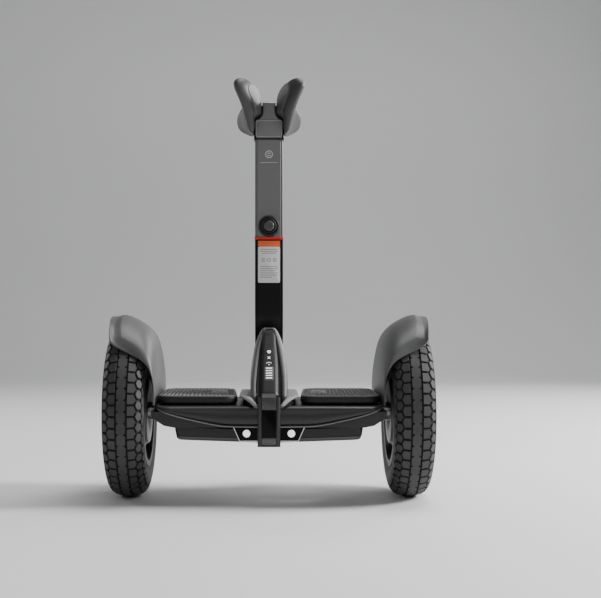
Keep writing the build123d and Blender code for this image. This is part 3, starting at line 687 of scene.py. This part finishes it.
def hump():
    """Hollow hump: two rounded cheeks with a sunken valley between them for the console."""
    rings = []
    for t in span(0, 1, 56):
        z = HUMP_FOOT + (HUMP_TOP - HUMP_FOOT) * t ** 0.92
        w, lip, front = smooth_table(HUMP_WIDTH, z), hump_lip(z), smooth_table(HUMP_FRONT, z)
        back = min(hump_back(z), front - 6)
        valley = 4.5 * clamp((z - 160) / 14) * clamp((277.5 - z) / 7)
        r = min(w - lip, 9)
        half = [(0, back + valley), (lip * 0.8, back + valley), (lip * 0.93, back + valley * 0.9),
                (lip * 0.99, back + valley * 0.35), (lip + 0.25 * r, back + 0.1)]
        for a in map(radians, span(0, 90, 7)[1:]):
            half.append((w - r * 0.75 * (1 - sin(a)), back + r * 1.25 * (1 - cos(a))))
        deep = front - back
        half += [(w, back + deep * 0.45), (w * 0.995, back + deep * 0.7)]
        r = min(w * 0.8, 14, deep * 0.28)
        for a in map(radians, span(0, 90, 5)):
            half.append((w - r * (1 - cos(a)), front - r * (1 - sin(a))))
        half.append((0, front))
        rings.append([(x, y, z) for x, y in half] + [(-x, y, z) for x, y in half[-2:0:-1]])
    # the valley under the console is painted near-black as shade
    paint(piece("hump", loft(rings), "hump", smooth=50), "gap", in_valley)
    crown = [[on_slope(u, s, w - 0.03 * abs(u)) for u in (-10.6, -8, -4, 0, 4, 8, 10.6)]
             for w, s in ((-4.5, 126.6), (0.8, 126.6), (1.4, 127.2), (1.2, 133.4), (-4.5, 134.6))]
    piece("hump_crown", grid(crown), "console", smooth=40)
    # the slot is filled with near-black as painted shade in its recess
    piece("console_slot", tile(6, 121.6, 124.2, 0.7, 3, on_slope, 1, 2.75, 0.1), "gap")


def console_row(s, drop=0):
    """The console's section at a distance up the slope."""
    w = smooth_table(CONSOLE_WIDTH, s)
    left = [(-w * k, h) for k, h in ((1, -4.6), (1, -1.6), (0.94, -0.6), (0.7, 2.35),
                                     (CONSOLE_FLAT, CONSOLE_TOP))]
    left += [(-w * CONSOLE_FLAT * t, CONSOLE_TOP) for t in (0.66, 0.33)]
    points = left + [(0, CONSOLE_TOP)] + [(-u, h) for u, h in reversed(left)]
    return [on_slope(u, s, h - drop) for u, h in points]


def console():
    """Gloss ridge with wide bevels, pierced for the power button."""
    below, above = BUTTON_AT - BUTTON_REACH, BUTTON_AT + BUTTON_REACH
    lower = [console_row(0.8, 1.2), console_row(1.4, 0.4)]
    lower += [console_row(s) for s in span(2.4, below, 14)]
    upper = [console_row(s) for s in span(above, 125.4, 8)] + [console_row(126.2, 0.6)]
    sides = [console_row(s) for s in span(below, above, 4)]
    bevel = 5
    outer = [r[-bevel] for r in sides] + sides[-1][bevel:-bevel][::-1]
    outer += [r[bevel - 1] for r in sides[::-1]] + sides[0][bevel:-bevel]
    angles = []
    for p in outer:
        d = Vector(p) - Vector(on_slope(0, BUTTON_AT, CONSOLE_TOP))
        angles.append(atan2(d.dot(UP_SLOPE), d.x))
    rings = [outer]
    for r, h in ((BUTTON_HOLE + 0.35, CONSOLE_TOP), (BUTTON_HOLE, 2.2), (BUTTON_HOLE, -1)):
        rings.append([on_slope(r * cos(a), BUTTON_AT + r * sin(a), h) for a in angles])
    ridge = join(grid(lower), grid(upper), grid([r[:bevel] for r in sides]),
                 grid([r[-bevel:] for r in sides]), grid(rings, close_v=True))
    piece("console", ridge, "console", smooth=28)


def arc_band(r, width, start, end, at, low, high):
    """A raised arc around a point of the display's middle line."""
    rings = []
    for a in map(radians, span(start, end, 18)):
        rings.append([on_slope(q * cos(a), at + q * sin(a), w)
                      for q, w in ((r - width / 2, low), (r - width / 2, high),
                                   (r + width / 2, high), (r + width / 2, low))])
    return loft(rings)


def display():
    """Charge gauge with five bars and three plain marks above it."""
    piece("gauge", tile(7.1, 29.4, 56.2, 1.6, 4, on_slope, 1.8, 2.72, 0.12), "mark_dim")
    lines, bars = [], []
    for i in range(5):
        low = 31.4 + 4.9 * i
        lines.append(tile(5.6, low - 0.2, low + 4.2, 0.3, 2, on_slope, 2.5, 2.8, 0.05))
        bars.append(tile(5, low + 1.4, low + 3.2, 0.3, 2, on_slope, 2.5, 2.92, 0.08))
    bars.append(arc_band(5, 0.7, 35, 145, 60.4, 2.4, 2.66))
    bars.append(arc_band(0.5, 0.7, 0, 350, 60.6, 2.4, 2.66))
    for a in (radians(45), radians(135)):
        stroke = [(p * cos(a) - q * sin(a), 74.6 + p * sin(a) + q * cos(a))
                  for p, q in rect(-2.9, 2.9, -0.45, 0.45)]
        bars.append(prism(stroke, on_slope, 2.4, 2.66))
    piece("gauge_lines", join(*lines), "gap")
    piece("display_marks", join(*bars), "mark")


def button():
    """Power button: a dark dished key with a white disc and a small ring mark."""
    n = 40
    dish = ((0.01, 2.85), (2.2, 2.92), (3.1, 2.92), (3.7, 2.7), (3.85, 2.2), (3.85, -1.5))
    key = piece("power_button", turned(on_slope, dish, n, (0, BUTTON_AT)), "mark",
                "button", 40)
    paint(key, "console", lambda face: face.index >= 2 * n)
    ring = arc_band(1.7, 0.6, -235, 55, BUTTON_AT, 2.7, 3.06)
    bar = prism(rect(-0.3, 0.3, BUTTON_AT + 0.5, BUTTON_AT + 2.3), on_slope, 2.7, 3.07)
    piece("button_mark", join(ring, bar), "gap", "button")


def skirt():
    """Pale collar around the hump, with two arms that sweep in and down to the centre band."""
    arms, feet = [], []
    for side in (-1, 1):
        rings, under = [], []
        for x0, y0, x1, y1, drop in SKIRT:
            i, o = Vector((x0, y0)), Vector((x1, y1))
            d = (o - i).normalized()
            top = SKIRT_TOP - drop
            low = max(SKIRT_LOW, top - 3.6)
            share = min(6, (o - i).length * 0.5)
            rings.append([(side * p.x, p.y, z) for p, z in (
                (i, low), (i, top - 0.4), (i + d * 0.5, top), (o - d * 2.2, top),
                (o - d * 0.7, top - 0.5), (o, top - 1.7), (o - d * 0.5, low))])
            under.append([(side * p.x, p.y, z) for p, z in (
                (i, SKIRT_LOW - 0.4), (i, low + 0.2), (o - d * share, low + 0.2),
                (o - d * share, SKIRT_LOW - 0.4))])
        arms.append(loft(rings))
        feet.append(loft(under))
    # painted shade: the recess under the arms is drawn as a near-black foot
    piece("skirt_foot", join(*feet), "gap", smooth=45)
    piece("skirt", join(*arms), "skirt", smooth=45)


hump()
console()
display()
button()
skirt()


# ---- steering bar ----
BAR_PROFILE = [(0, -14), (19.3, -14), (19.9, -13.6), (20.2, -12.6), (21.2, -12.6), (21.6, -13.3),
               (22.5, -13.3), (23.4, -12.6), (23.75, -11.4), (23.75, 11), (23.1, 13), (21.2, 14)]
FOOT_Y, POST_Y, BAR_DEEP = 123, 45, 14
KNOB_Z, MARK_Z = 450, 572
RULE_LOW, RULE_HIGH = 0.3, 0.5


def bar_ring(z, centre, swell=0):
    """The bar's section at a height, with its two grooves beside the rear face."""
    full = BAR_PROFILE + [(-x, y) for x, y in BAR_PROFILE[:0:-1]]
    return [(x + copysign(swell, x) * (x != 0), centre + y * (1 + swell / BAR_DEEP), z)
            for x, y in full]


def bar_block(levels):
    """A straight stretch of the bar, from (height, swell) pairs."""
    return loft([bar_ring(z, POST_Y, swell) for z, swell in levels])


def bar_line(z):
    """Centre of the bar, front to back: upright, a smooth bend, upright again."""
    return FOOT_Y - (FOOT_Y - POST_Y) * smooth_step(152, 300, z)


def on_bar(u, v, w):
    """A point on the bar's rear face: u across, v height, w proud of the face."""
    return (u, POST_Y - BAR_DEEP - w, v)


def upright(levels, n=5):
    """A block around the bar's middle, from (height, half width, half depth, corner radius)."""
    return loft([[(x, POST_Y + y, z) for x, y in round_rect(-a, a, -b, b, r, n)]
                 for z, a, b, r in levels])


def lower_post():
    """Bent lower bar with the same grooved section all the way, and the red ring on top of it."""
    rings = []
    for z in (123, 126, 131, 138, 145, 150):
        narrow = 1 - 0.35 * (max(138 - z, 0) / 15) ** 3
        rings.append([(x * narrow, y, h) for x, y, h in bar_ring(z, FOOT_Y)])
    for z in span(150, 302, 32)[1:]:
        slope = bar_line(z + 0.5) - bar_line(z - 0.5)
        k = 1 / sqrt(1 + slope * slope)
        rings.append([(x, bar_line(z) + y * k, z - y * slope * k) for x, y, _ in bar_ring(0, 0)])
    rings += [bar_ring(z, POST_Y) for z in (330, 380, 420, 427.6)]
    piece("lower_post", loft(rings), "post", "steering_bar")
    ring = bar_block(((427.8, 0.2), (428.1, 0.7), (428.6, 1), (431.4, 1), (431.9, 0.7),
                      (432.1, 0.2)))
    piece("red_ring", ring, "red", "steering_bar")


def label():
    """Blank information plate: an orange strip over a white one, with neutral grey rules."""
    piece("bar_label", tile(18.6, 354.4, 415.6, 2.2, 4, on_bar, -0.1, 0.42, 0.12), "label",
          "steering_bar")
    piece("label_strip", tile(18.6, 415.9, 425.6, 0.6, 3, on_bar, -0.1, 0.42, 0.12), "orange",
          "steering_bar")
    ink = []

    def rule(u0, u1, v, tall):
        ink.append(prism(rect(u0, u1, v, v + tall), on_bar, RULE_LOW, RULE_HIGH))

    for i, half in enumerate((14, 15, 12)):
        rule(-half, half, 410.4 - 3.2 * i, 1.1)
    ring = ((3.4, RULE_LOW), (3.4, RULE_HIGH), (2.5, RULE_HIGH), (2.5, RULE_LOW))
    for u in (-9.5, 0, 9.5):
        ink.append(turned(on_bar, ring, 28, (u, 393)))
        rule(u - 0.5, u + 0.5, 391.4, 3.2)
    for i, end in enumerate((15, 15, 11, 15, 15, 5)):
        rule(-15, end, 381.4 - 3.6 * i, 1)
    piece("label_rules", join(*ink), "label_ink", "steering_bar", smooth=0)


def sleeve():
    """Upper bar with a seat for the clamp knob and a plain ring mark near its head."""
    tube = bar_block(((432.3, -0.5), (432.9, 0), (480, 0), (540, 0), (596.4, 0),
                      (597, -0.5)))
    piece("sleeve", tube, "sleeve", "upper_bar")
    seat = ((18, -1), (18, 1.6), (17.4, 3), (16.2, 3.8), (14.6, 4), (13.2, 3.2), (12.9, 0.6),
            (4, 0.4))
    piece("knob_seat", turned(on_bar, seat, 72, (0, KNOB_Z)), "knob", "upper_bar", 35)
    ring = ((6.4, -0.05), (6.4, 0.12), (5.2, 0.12), (5.2, -0.05))
    marks = [turned(on_bar, ring, 48, (0, MARK_Z))]
    for low, high, half in ((569.4, 570.6, 2.6), (573.2, 574.4, 2.6), (557.6, 558.2, 14.5)):
        marks.append(prism(rect(-half, half, low, high), on_bar, -0.05, 0.12))
    piece("sleeve_mark", join(*marks), "mark_plain", "upper_bar")


def knob():
    """Clamp knob: a scalloped dark rim around a raised grey disc."""
    def scallop(r, a):
        return r - 0.9 * (0.5 + 0.5 * cos(16 * a)) ** 3 if r > 11 else r

    rim = ((8.9, 6), (9.3, 9.6), (10.4, 11.6), (11.6, 11.9), (12.4, 11), (12.6, 9), (12.6, 2.4),
           (12, 1.2), (4.4, 1), (4.2, -10), (0.01, -10))
    piece("clamp_knob", turned(on_bar, rim, 96, (0, KNOB_Z), scallop), "knob", "knob",
          35)
    disc = ((8.8, 5), (8.8, 13), (8.4, 14.2), (7.4, 14.9), (5, 15), (2, 14.7), (0.01, 14.6))
    piece("knob_disc", turned(on_bar, disc, 96, (0, KNOB_Z)), "knob_disc", "knob", 40)


def head():
    """Head block with a fine raised frame, side rails and a waisted saddle above it."""
    levels = [(596.8, 20, 13.4, 1.7)]
    levels += [(z, 22.6 + grow, 16 + grow, 3 + grow * 0.5)
               for z, grow in ((599.8, -2.6), (600, -1.4), (600.9, -0.3), (602, 0),
                               (627, 0), (629.2, -0.5), (630.4, -1.8), (630.6, -3))]
    block = piece("head_block", upright(levels), "head", "upper_bar")
    # the block's recessed bottom band is painted near-black as shade
    paint(block, "gap", lambda face: face.center.z < 599.9 * MM)
    outer = round_rect(-22.2, 22.2, 601, 629.2, 2.6, 5)
    inner = round_rect(-21.1, 21.1, 602.1, 628.1, 1.9, 5)
    border = [[on_bar(*p, w) for p in points]
              for points, w in ((outer, 1.6), (outer, 2.35), (inner, 2.35), (inner, 1.6))]
    # the raised frame is light grey as a painted highlight on its edges
    piece("head_frame", grid(border, close_v=True), "edge_highlight", "upper_bar")
    rails = []
    section = [(22.4, -15), (24.3, -15.6), (25.3, -14.6), (25.3, 13), (24.3, 14), (22.4, 14)]
    for side in (-1, 1):
        rails.append(loft([
            [(side * (x - pull * (x > 23)), POST_Y + y * (1 - 0.02 * pull), z) for x, y in section]
            for z, pull in ((595.8, 0.6), (596.8, 0), (600, 0), (620, 0.35), (627, 0.9),
                            (629.6, 1.9))]))
    piece("head_rails", join(*rails), "post", "upper_bar")
    waist = [(630.4, 21.3), (631.6, 19.2), (633.4, 16), (636.2, 13.2), (639.4, 11.5),
             (643.6, 10.6), (648, 10.3), (655, 10.7), (659, 11.2), (660.4, 11), (661.2, 10.2)]
    levels = [(z, w, 14 if z < 660 else 14 - (z - 659) * 1.2, 2.4) for z, w in waist]
    neck = piece("neck", upright(levels), "neck", "upper_bar", 40)
    # the top of the neck gets the light grey as a painted highlight along its edge
    paint(neck, "edge_highlight", lambda face: face.center.z > 659.2 * MM)


lower_post()
label()
sleeve()
knob()
head()


# ---- knee pads ----
KNEE_SIDE = [(-15, 676), (-11.5, 687.3), (-2, 694.5), (14, 692.7), (50, 676), (84, 661),
             (98.5, 649), (103, 634), (98, 620), (79, 610), (52, 605.5), (28, 605.5), (12, 608.5),
             (2, 628), (-9.5, 654)]
KNEE_CENTRE = (42, 644)


def about_centre(point, k):
    """A point of the side view moved towards (k < 1) the pad's centre."""
    return tuple(c + (p - c) * k for p, c in zip(point, KNEE_CENTRE))


def knee_outline(count, inset=0):
    """Smooth closed side view of a knee pad."""
    n = len(KNEE_SIDE)
    points = []
    for i in range(n):
        near = [KNEE_SIDE[(i + k) % n] for k in (-1, 0, 1, 2)]
        for t in span(0, 1, 12)[:-1]:
            points.append(tuple(
                0.5 * (2 * b + (c - a) * t + (2 * a - 5 * b + 4 * c - d) * t * t
                       + (3 * b - 3 * c + d - a) * t**3)
                for a, b, c, d in zip(*near)))
    closed = points + points[:1]
    lengths = walked(closed)
    tables = [list(zip(lengths, values)) for values in zip(*closed)]
    out = []
    for s in span(0, lengths[-1], count)[:-1]:
        point = tuple(lerp_table(table, s) for table in tables)
        out.append(about_centre(point, 1 - inset / dist(point, KNEE_CENTRE)))
    return out


def trough(y, z, depth, rear_bend, front_bend, lean):
    """How far out a trough's surface is at a point of the side view."""
    bend = (rear_bend if y < POST_Y else front_bend) * (y - POST_Y) ** 2
    lean = radians(lean)
    flare = 4.6 * smooth_step(650, 692, z) * (1 - smooth_step(5, 50, y))
    return (depth + bend) / cos(lean) + (z - 650) * tan(lean) + flare


def knee_inside(y, z):
    """The shell's inner face, pushed out beside the head block."""
    x = trough(y, z, 12, 0.0062, 0.0103, 4)
    return x + max(24.6 - x, 0) * (1 - smooth_step(631, 643, z))


def point_gap(p, a, b):
    """Distance from a point to a stretch of line."""
    dx, dy = b[0] - a[0], b[1] - a[1]
    t = clamp(((p[0] - a[0]) * dx + (p[1] - a[1]) * dy) / max(dx * dx + dy * dy, 1e-9))
    return hypot(p[0] - a[0] - dx * t, p[1] - a[1] - dy * t)


def pillow(outline, low, high, radius, rings):
    """A closed form between two surfaces with a rounded rim, from its side view."""
    closed = outline + outline[:1]
    rows_low, rows_high = [], []
    for k in range(1, rings + 1):
        share = 1 - (1 - k / rings) ** 1.9
        row_low, row_high = [], []
        for point in outline:
            y, z = about_centre(point, share)
            gap = min(point_gap((y, z), a, b) for a, b in zip(closed, closed[1:]))
            x0, x1 = low(y, z), high(y, z)
            half, mid = max((x1 - x0) / 2, 0.2), (x0 + x1) / 2
            t = min(gap / min(radius, half), 1)
            swell = half * sqrt(max(1 - (1 - t) ** 2, 0))
            row_low.append((mid - swell, y, z))
            row_high.append((mid + swell, y, z))
        rows_low.append(row_low)
        rows_high.append(row_high)
    ends = [[(side(*KNEE_CENTRE), *KNEE_CENTRE)] * len(outline) for side in (low, high)]
    return grid(ends[:1] + rows_low + rows_high[::-1] + ends[1:], close_v=True)


def knee_pads():
    """Soft pads for the rider's knees, each on a thin shell."""
    pad = pillow(knee_outline(96), lambda y, z: knee_inside(y, z) + 0.8,
                 lambda y, z: trough(y, z, 38.5, 0.0037, 0.0068, 12), 12.5, 22)
    shell = pillow(knee_outline(84, 9.5), knee_inside, lambda y, z: knee_inside(y, z) + 3.4, 1.2,
                   16)
    mounts = upright([(z, knee_inside(POST_Y, z) + (1.4 if z < 654 else 0.2), 10.5, 3)
                      for z in (628.6, 630, 633, 636, 640, 645, 650, 653.4, 655)], 4)
    # the mounts are coloured near-black as painted shade between pad and head
    piece("knee_mounts", mounts, "gap", "upper_bar", smooth=50)
    made = pairs("upper_bar", ("knee_pad", pad, "knee", "knee_rubber", 60),
                 ("knee_back", shell, "knee_back", "knee_shell", 50))
    for soft in made[::2]:
        smoother = soft.modifiers.new("subdivide", "SUBSURF")
        smoother.levels = 1
        smoother.render_levels = 1


knee_pads()


# ---- foot pads ----
PAD_X0, PAD_X1, PAD_Y0, PAD_Y1, PAD_R = 49.2, 176.8, -98, 90, 24
PAD_TOP, PAD_TAPER = 172.4, 10
RIB_STEP, RIB_REACH, RIB_HALF = 3.2, 2.05, 0.6


def taper(shape):
    """Draws the pad's inner edge outwards towards the front."""
    wide, deep = PAD_X1 - PAD_X0, PAD_Y1 - PAD_Y0
    verts, faces = shape
    return [(x + (PAD_X1 - x) / wide * PAD_TAPER * (y - PAD_Y0) / deep, y, z)
            for x, y, z in verts], faces


def pad_slab(levels):
    """A slab of the pad's outline, from (height, inset) pairs."""
    return loft([[(x, y, z) for x, y in round_rect(PAD_X0 + i, PAD_X1 - i, PAD_Y0 + i, PAD_Y1 - i,
                                                   PAD_R - i, 12)] for z, i in levels])


def on_pad(u, v, w):
    return (u, v, PAD_TOP + w)


def has_rib(x, y):
    """Whether a point is well inside the pad's rounded outline and clear of its patch."""
    dx = max(PAD_X0 + PAD_R - x, x - PAD_X1 + PAD_R, 0)
    dy = max(PAD_Y0 + PAD_R - y, y - PAD_Y1 + PAD_R, 0)
    return hypot(dx, dy) < PAD_R - 4.6 and not (63 < x < 93 and -42 < y < 42)


def foot_pads():
    """Rubber foot pads: rounded base darkened as painted shade, lighter top with herringbone ribs,
    a smooth patch.
    """
    base = pad_slab(((159.6, 3.2), (160, 1.8), (161, 0.6), (162.6, 0.1), (166, 0),
                     (169.6, 0.1), (170.4, 0.6)))
    top = pad_slab(((170.2, 0.8), (170.5, 0.1), (171.2, 0), (171.9, 0.4), (172.35, 1.2),
                    (172.5, 2.4)))
    ribs = []
    for i in range(int((PAD_X1 - PAD_X0) / RIB_STEP)):
        for j in range(int((PAD_Y1 - PAD_Y0) / RIB_STEP)):
            x, y = PAD_X0 + RIB_STEP * (i + 0.8), PAD_Y0 + RIB_STEP * (j + 0.8)
            if not has_rib(x, y):
                continue
            a = radians(45 if i % 2 else -45)
            corners = [(x + cos(a) * p - sin(a) * q, y + sin(a) * p + cos(a) * q)
                       for p, q in rect(-RIB_REACH, RIB_REACH, -RIB_HALF, RIB_HALF)]
            crown = [(x + (u - x) * 0.82, y + (v - y) * 0.82) for u, v in corners]
            ribs.append(([on_pad(*p, 0) for p in corners] + [on_pad(*p, 0.24) for p in crown],
                         [(4, 5, 6, 7), (0, 1, 5, 4), (1, 2, 6, 5), (2, 3, 7, 6), (3, 0, 4, 7)]))
    patch = plate(round_rect(66, 90, -38, 38, 3, 4), on_pad, 0, 0.32, 0.2)
    # the small slot is near-black as painted shade in its recess
    slot = plate(round_rect(72.5, 83.5, -2, 2, 1.9, 5), on_pad, 0.2, 0.36, 0.05)
    pairs("{}_pad", ("foot_pad", taper(base), "shaded_pad_side", "pad_rubber", 40),
          ("pad_top", taper(join(top, *ribs)), "mat", "pad_rubber", 30),
          ("pad_patch", taper(patch), "mat_patch", "pad_rubber", 30),
          ("pad_slot", taper(slot), "gap", "pad_rubber", 30))


foot_pads()


# ---- CAD pieces that keep their shape: look, and width of the rounded edges ----
CARRIED = (
    ("tray", 0.9, "frame_tray"), ("cell", 0.4, "battery_cells"), ("battery", 0.5, "charge_box"),
    ("brass", 0.15, "charge_socket"), ("gloss", 0.4, "tail_panel"), ("gloss", 0.5, "front_panel"),
    ("chrome", 0.3, "tail_trim"), ("lamp", 0.5, "tail_lamps front_lamps"),
    ("board", 0.2, "display_board control_board gyro_board"), ("switch", 0.3, "foot_sensors"),
    ("steel", 0.3, "fender_screws shaft_bearings wheel_bearings_{}"),
    ("steel", 0.4, "steering_shaft axle_{}"), ("alu", 0.4, "inner_tube"), ("rim", 1, "rim_{}"),
    ("dark_steel", 0.3, "magnets_{}"), ("soft_black", 0.2, "valve_{}"),
    ("copper", 0.3, "stator_{}"),
)


def finish_node(node, look, width):
    """Gives a CAD piece its material and a small rounded edge."""
    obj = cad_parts[node]
    for held in obj.material_slots:
        held.material = MAT[look]
    edge = obj.modifiers.new("edge", "BEVEL")
    edge.width = width * MM
    edge.segments = 2
    edge.limit_method = "ANGLE"
    edge.angle_limit = radians(35)


for look, width, nodes in CARRIED:
    for node in nodes.split():
        for hand, _ in HANDS if "{}" in node else HANDS[:1]:
            finish_node(node.format(hand), look, width)


# ---- studio (in metres, but for the floor) ----
FLOOR_REACH, FLOOR_BEND, FLOOR_RADIUS, WALL_TOP = 9000, 3200, 1600, 7000
CAMERA_PLACE, CAMERA_LENS, CAMERA_SHIFT = (0, -1.946, 0.305), 69.96, (0.0524, 0.0216)
# name, place, height of the point aimed at, size, power
LIGHTS = (("key", (2.8, 0.1, 1.7), 0.28, 0.9, 165), ("top", (0.6, 0.5, 3), 0.2, 1.5, 55),
          ("fill", (-2.4, -2.6, 1.2), 0.3, 1.8, 4), ("front", (0.5, -3.6, 2.4), 0.3, 1.6, 15),
          ("rim", (1.8, 2, 1.5), 0.4, 1.2, 30), ("rim_left", (-2.2, 1.4, 1), 0.4, 0.8, 14))


def studio():
    """Pale floor that curves up behind, soft lights and the camera at the rider's side."""
    section = [(-FLOOR_REACH, 0), (0, 0), (FLOOR_BEND, 0)]
    for a in map(radians, span(9, 90, 9)):
        section.append((FLOOR_BEND + FLOOR_RADIUS * sin(a), FLOOR_RADIUS * (1 - cos(a))))
    section.append((FLOOR_BEND + FLOOR_RADIUS, WALL_TOP))
    rows = [[(x, y, z) for y, z in section] for x in span(-FLOOR_REACH, FLOOR_REACH, 3)]
    add_mesh("floor", grid(rows), "floor", 60)

    scene = bpy.context.scene
    for name, place, aim, size, power in LIGHTS:
        data = bpy.data.lights.new(name, "AREA")
        data.energy = power
        data.shape = "RECTANGLE"
        data.size = data.size_y = size
        light = add_object(name, data)
        light.location = place
        sight = Vector((0, 0, aim)) - Vector(place)
        light.rotation_euler = sight.to_track_quat("-Z", "Y").to_euler()
    scene.world = bpy.data.worlds.new("studio")
    scene.world.use_nodes = True
    sky = scene.world.node_tree.nodes["Background"].inputs
    sky["Color"].default_value = (0.92, 0.95, 1, 1)
    sky["Strength"].default_value = 0.15

    data = bpy.data.cameras.new("camera")
    data.sensor_width = 36
    data.lens = CAMERA_LENS
    data.shift_x, data.shift_y = CAMERA_SHIFT
    data.clip_start = 0.05
    scene.camera = add_object("camera", data)
    scene.camera.location = CAMERA_PLACE
    scene.camera.rotation_euler = (radians(90), 0, 0)


studio()
